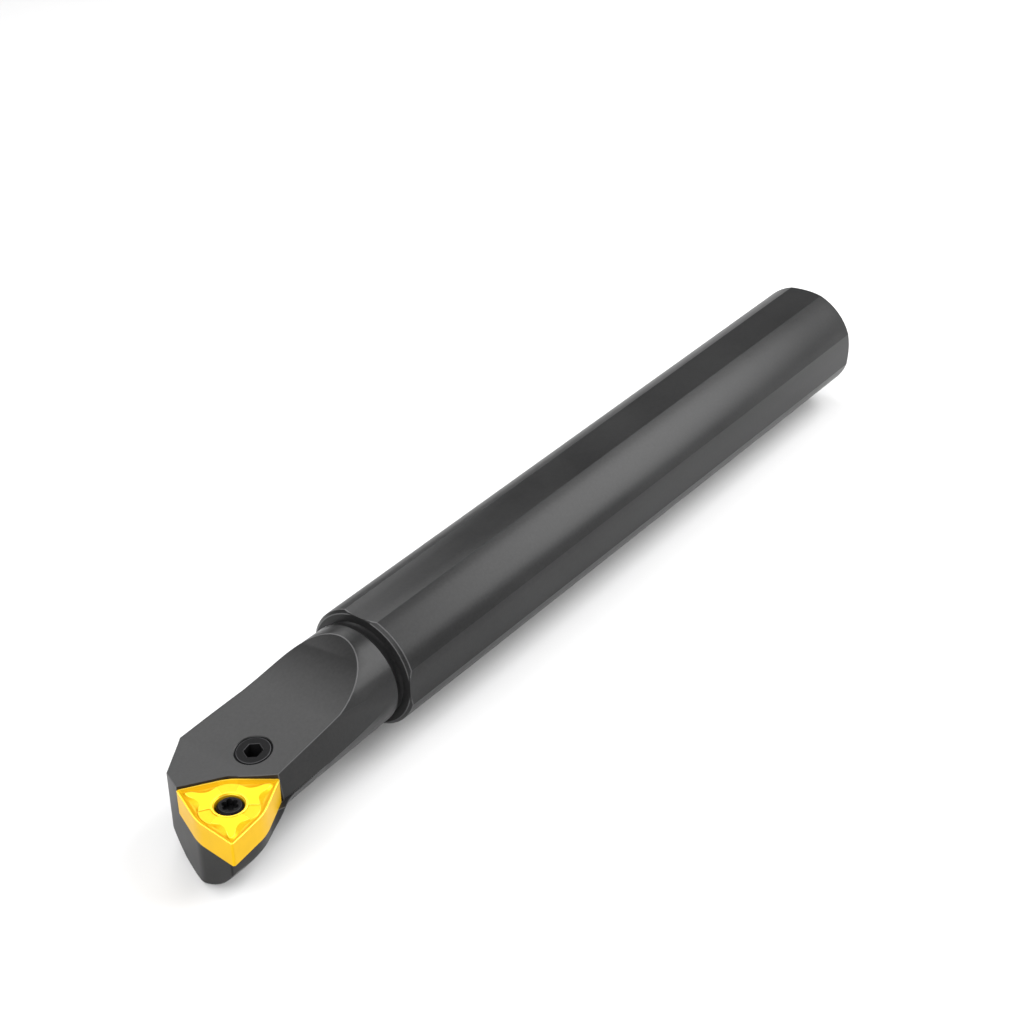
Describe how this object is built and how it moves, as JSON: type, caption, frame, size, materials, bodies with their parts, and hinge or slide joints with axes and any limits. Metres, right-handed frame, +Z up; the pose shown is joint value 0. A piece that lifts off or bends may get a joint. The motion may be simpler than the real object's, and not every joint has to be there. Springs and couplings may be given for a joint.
{
  "type": "boring bar",
  "caption": "Straight round-shank boring bar with flats and a reduced neck, holding a trigon insert by a knee lever that a recessed socket screw pulls down.",
  "frame": {"origin": "centre of the shank's rear end face, on the shank's axis", "axes": "+X along the shank towards the cutting head, +Y towards the side that cuts, +Z up, on the side of the insert's rake face"},
  "size_m": [0.2001, 0.0251, 0.0243],
  "materials": {
    "bar_steel": "dark satin oxide",
    "insert_coating": "gold hard coating",
    "lever_steel": "black oxide",
    "screw_steel": "black oxide"
  },
  "bodies": {
    "bar": {"bar_body": "bar_steel", "cutting_insert": "insert_coating"},
    "lever": {"clamping_lever": "lever_steel"},
    "screw": {"lever_screw": "screw_steel"}
  },
  "joints": [
    {"name": "screw_travel", "type": "slide", "parent": "bar", "child": "screw", "axis": [0.1616, 0, 0.9869], "range_m": [0, 0.00065]},
    {"name": "lever_tilt", "type": "hinge", "parent": "bar", "child": "lever", "pos_m": [0.19408, 0.00687, -0.00824], "axis": [-0.3541, 0.9351, -0.0152], "range_deg": [0, 3.1]}
  ],
  "couplings": [
    {"joint": "lever_tilt", "follows": "screw_travel", "rad_per_m": 81.78}
  ]
}
